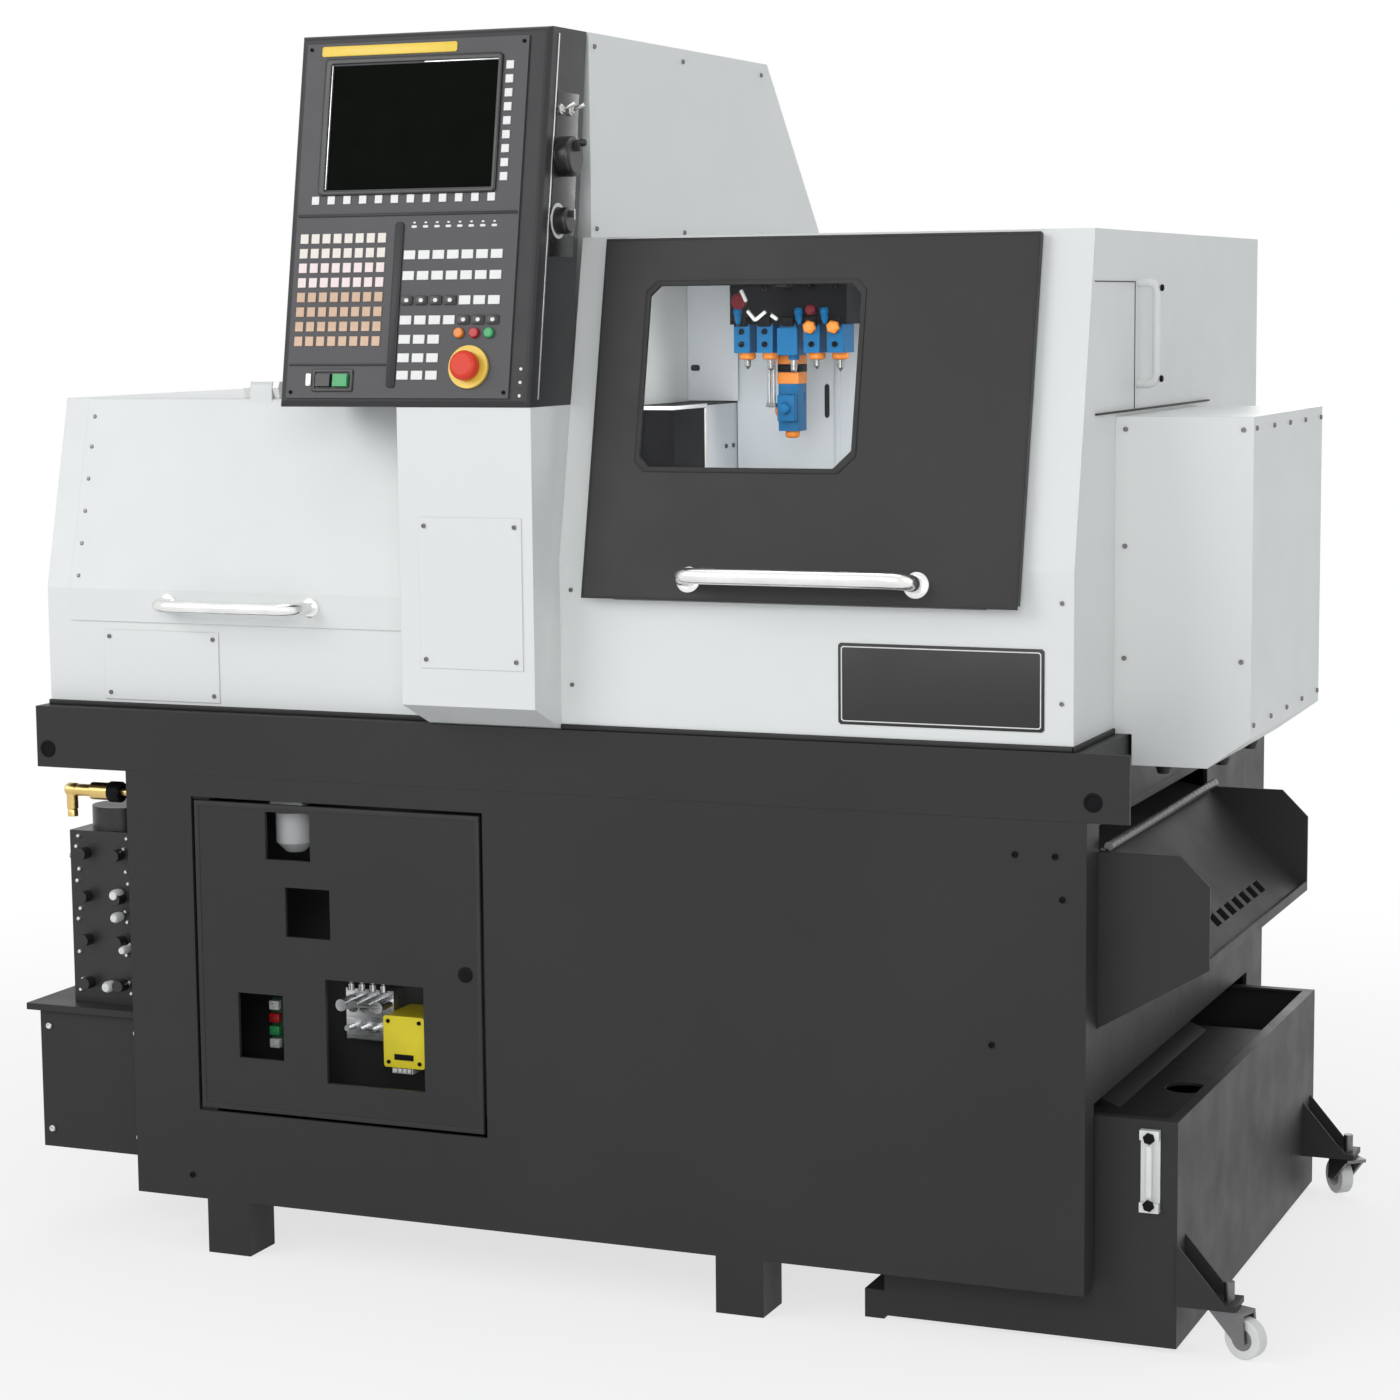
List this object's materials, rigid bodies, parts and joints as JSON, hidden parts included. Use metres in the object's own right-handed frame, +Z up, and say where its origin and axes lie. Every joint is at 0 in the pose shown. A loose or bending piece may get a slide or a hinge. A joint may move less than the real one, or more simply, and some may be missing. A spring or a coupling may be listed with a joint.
{
  "type": "cnc turning lathe",
  "caption": "Sliding-head turning machine with a sliding front door, flip-up headstock cover, operator panel, chip chute and a pull-out coolant tank.",
  "frame": {"origin": "on the floor at the centre of the four levelling feet", "axes": "+X along the spindle line towards the chip chute, +Y away from the operator, +Z up"},
  "size_m": [1.8777, 1.142, 1.746],
  "materials": {
    "cabinet_paint": "satin dark grey powder coat",
    "cover_paint": "satin off-white paint",
    "door_paint": "satin charcoal paint",
    "liner_paint": "pale grey paint",
    "window_pane": "clear pane",
    "handle_chrome": "polished tube",
    "bright_steel": "ground steel",
    "bed_casting": "grey painted casting",
    "column_black": "black painted casting",
    "post_black": "black oxide",
    "holder_blue": "blue anodised look",
    "pendant_shell": "black satin moulding",
    "fascia_grey": "dark grey film",
    "screen_glass": "black glass",
    "key_white": "white caps",
    "key_tint": "tinted caps",
    "estop_yellow": "yellow ring",
    "estop_red": "red cap",
    "button_orange": "orange cap",
    "button_red": "red cap",
    "button_green": "green cap",
    "button_black": "black cap",
    "knob_black": "black moulding",
    "service_plate": "black plate",
    "regulator_clear": "clear bowl",
    "valve_silver": "plain aluminium",
    "supply_yellow": "yellow case",
    "terminal_green": "dark green strip",
    "pump_black": "black paint",
    "coupler_brass": "plain brass",
    "gauge_clear": "clear gauge",
    "caster_zinc": "dark zinc plate",
    "caster_nylon": "pale nylon"
  },
  "bodies": {
    "machine": {"base_cabinet": "cabinet_paint", "deck_pan": "cabinet_paint", "chip_chute": "cabinet_paint", "oil_cabinet": "cabinet_paint", "hood": "cover_paint", "headstock_cover": "cover_paint", "pendant_bay": "cover_paint", "inspection_plates": "cover_paint", "cabinet_tower": "cover_paint", "side_box": "cover_paint", "side_handle": "cover_paint", "chamber_liner": "liner_paint", "door_rails": "bright_steel", "hinge_brackets": "bright_steel", "linear_rails": "bright_steel", "bed": "bed_casting", "guide_bush_column": "column_black", "pendant_housing": "pendant_shell", "pendant_panel": "fascia_grey", "display_screen": "screen_glass", "white_keys": "key_white", "letter_keys": "key_tint", "estop_ring": "estop_yellow", "service_panel": "service_plate", "air_regulator": "regulator_clear", "valve_bank": "valve_silver", "supply_box": "supply_yellow", "terminal_block": "terminal_green", "oil_pump": "pump_black", "air_coupler": "coupler_brass"},
    "front_door": {"front_door": "door_paint", "door_window": "window_pane", "door_handle": "handle_chrome"},
    "headstock_door": {"headstock_door": "cover_paint", "headstock_door_handle": "handle_chrome"},
    "access_door": {"access_door": "cabinet_paint"},
    "estop_button": {"estop_button": "estop_red"},
    "reset_button": {"reset_button": "button_orange"},
    "hold_button": {"hold_button": "button_red"},
    "cycle_button": {"cycle_button": "button_green"},
    "power_off_button": {"power_off_button": "button_black"},
    "power_on_button": {"power_on_button": "button_green"},
    "handwheel": {"handwheel": "knob_black"},
    "selector_knob": {"selector_knob": "knob_black"},
    "tank": {"tank": "cabinet_paint", "tank_strainer": "cabinet_paint", "sight_gauge": "gauge_clear", "caster_brackets": "cabinet_paint"},
    "caster_front": {"caster_fork_front": "caster_zinc"},
    "caster_rear": {"caster_fork_rear": "caster_zinc"},
    "wheel_front": {"caster_wheel_front": "caster_nylon"},
    "wheel_rear": {"caster_wheel_rear": "caster_nylon"},
    "headstock": {"headstock": "bed_casting"},
    "main_spindle": {"main_spindle": "bright_steel"},
    "guide_bush": {"guide_bush": "bright_steel"},
    "tool_slide": {"tool_slide": "bed_casting"},
    "tool_post": {"tool_post": "post_black", "tool_holders": "holder_blue"},
    "sub_headstock": {"sub_headstock": "bed_casting"},
    "sub_spindle": {"sub_spindle": "bright_steel"}
  },
  "joints": [
    {"name": "front_door_slide", "type": "slide", "parent": "machine", "child": "front_door", "axis": [0, 0.206, 0.9785], "range_m": [0, 0.38]},
    {"name": "headstock_door_hinge", "type": "hinge", "parent": "machine", "child": "headstock_door", "pos_m": [-0.4, -0.42, 1.262], "axis": [-1, 0, 0], "range_deg": [0, 45]},
    {"name": "access_door_hinge", "type": "hinge", "parent": "machine", "child": "access_door", "pos_m": [-0.427, -0.51, 0.44], "axis": [0, 0, -1], "range_deg": [0, 100]},
    {"name": "estop_press", "type": "slide", "parent": "machine", "child": "estop_button", "axis": [0, 0.9845, -0.1751], "range_m": [0, 0.005]},
    {"name": "reset_button_press", "type": "slide", "parent": "machine", "child": "reset_button", "axis": [0, 0.9845, -0.1751], "range_m": [0, 0.003], "stiffness_N_per_m": 300},
    {"name": "hold_button_press", "type": "slide", "parent": "machine", "child": "hold_button", "axis": [0, 0.9845, -0.1751], "range_m": [0, 0.003], "stiffness_N_per_m": 300},
    {"name": "cycle_button_press", "type": "slide", "parent": "machine", "child": "cycle_button", "axis": [0, 0.9845, -0.1751], "range_m": [0, 0.003], "stiffness_N_per_m": 300},
    {"name": "power_off_button_press", "type": "slide", "parent": "machine", "child": "power_off_button", "axis": [0, 0.9845, -0.1751], "range_m": [0, 0.003], "stiffness_N_per_m": 300},
    {"name": "power_on_button_press", "type": "slide", "parent": "machine", "child": "power_on_button", "axis": [0, 0.9845, -0.1751], "range_m": [0, 0.003], "stiffness_N_per_m": 300},
    {"name": "handwheel_turn", "type": "hinge", "parent": "machine", "child": "handwheel", "pos_m": [0.143, -0.48734, 1.57396], "axis": [1, 0, 0], "continuous": true},
    {"name": "selector_turn", "type": "hinge", "parent": "machine", "child": "selector_knob", "pos_m": [0.143, -0.50099, 1.48794], "axis": [1, 0, 0], "range_deg": [-60, 60]},
    {"name": "tank_slide", "type": "slide", "parent": "machine", "child": "tank", "axis": [1, 0, 0], "range_m": [0, 0.45]},
    {"name": "caster_front_swivel", "type": "hinge", "parent": "tank", "child": "caster_front", "pos_m": [1.063, -0.445, 0.07], "axis": [0, 0, 1], "continuous": true},
    {"name": "wheel_front_spin", "type": "hinge", "parent": "caster_front", "child": "wheel_front", "pos_m": [1.08743, -0.45389, 0.028], "axis": [0.342, 0.9397, 0], "continuous": true},
    {"name": "caster_rear_swivel", "type": "hinge", "parent": "tank", "child": "caster_rear", "pos_m": [1.063, 0.352, 0.07], "axis": [0, 0, 1], "continuous": true},
    {"name": "wheel_rear_spin", "type": "hinge", "parent": "caster_rear", "child": "wheel_rear", "pos_m": [1.04629, 0.37192, 0.028], "axis": [-0.766, -0.6428, 0], "continuous": true},
    {"name": "headstock_slide", "type": "slide", "parent": "machine", "child": "headstock", "axis": [1, 0, 0], "range_m": [0, 0.2]},
    {"name": "main_spindle_spin", "type": "hinge", "parent": "headstock", "child": "main_spindle", "pos_m": [-0.3, -0.19, 1.04], "axis": [1, 0, 0], "continuous": true},
    {"name": "guide_bush_spin", "type": "hinge", "parent": "machine", "child": "guide_bush", "pos_m": [0.18, -0.19, 1.04], "axis": [1, 0, 0], "continuous": true},
    {"name": "tool_slide_drop", "type": "slide", "parent": "machine", "child": "tool_slide", "axis": [0, 0, 1], "range_m": [-0.1, 0.02]},
    {"name": "tool_post_feed", "type": "slide", "parent": "tool_slide", "child": "tool_post", "axis": [0, 1, 0], "range_m": [-0.03, 0.03]},
    {"name": "sub_headstock_slide", "type": "slide", "parent": "machine", "child": "sub_headstock", "axis": [-1, 0, 0], "range_m": [0, 0.11]},
    {"name": "sub_spindle_spin", "type": "hinge", "parent": "sub_headstock", "child": "sub_spindle", "pos_m": [0.725, -0.19, 1.04], "axis": [1, 0, 0], "continuous": true}
  ],
  "couplings": [
    {"joint": "guide_bush_spin", "follows": "main_spindle_spin", "ratio": 1}
  ]
}
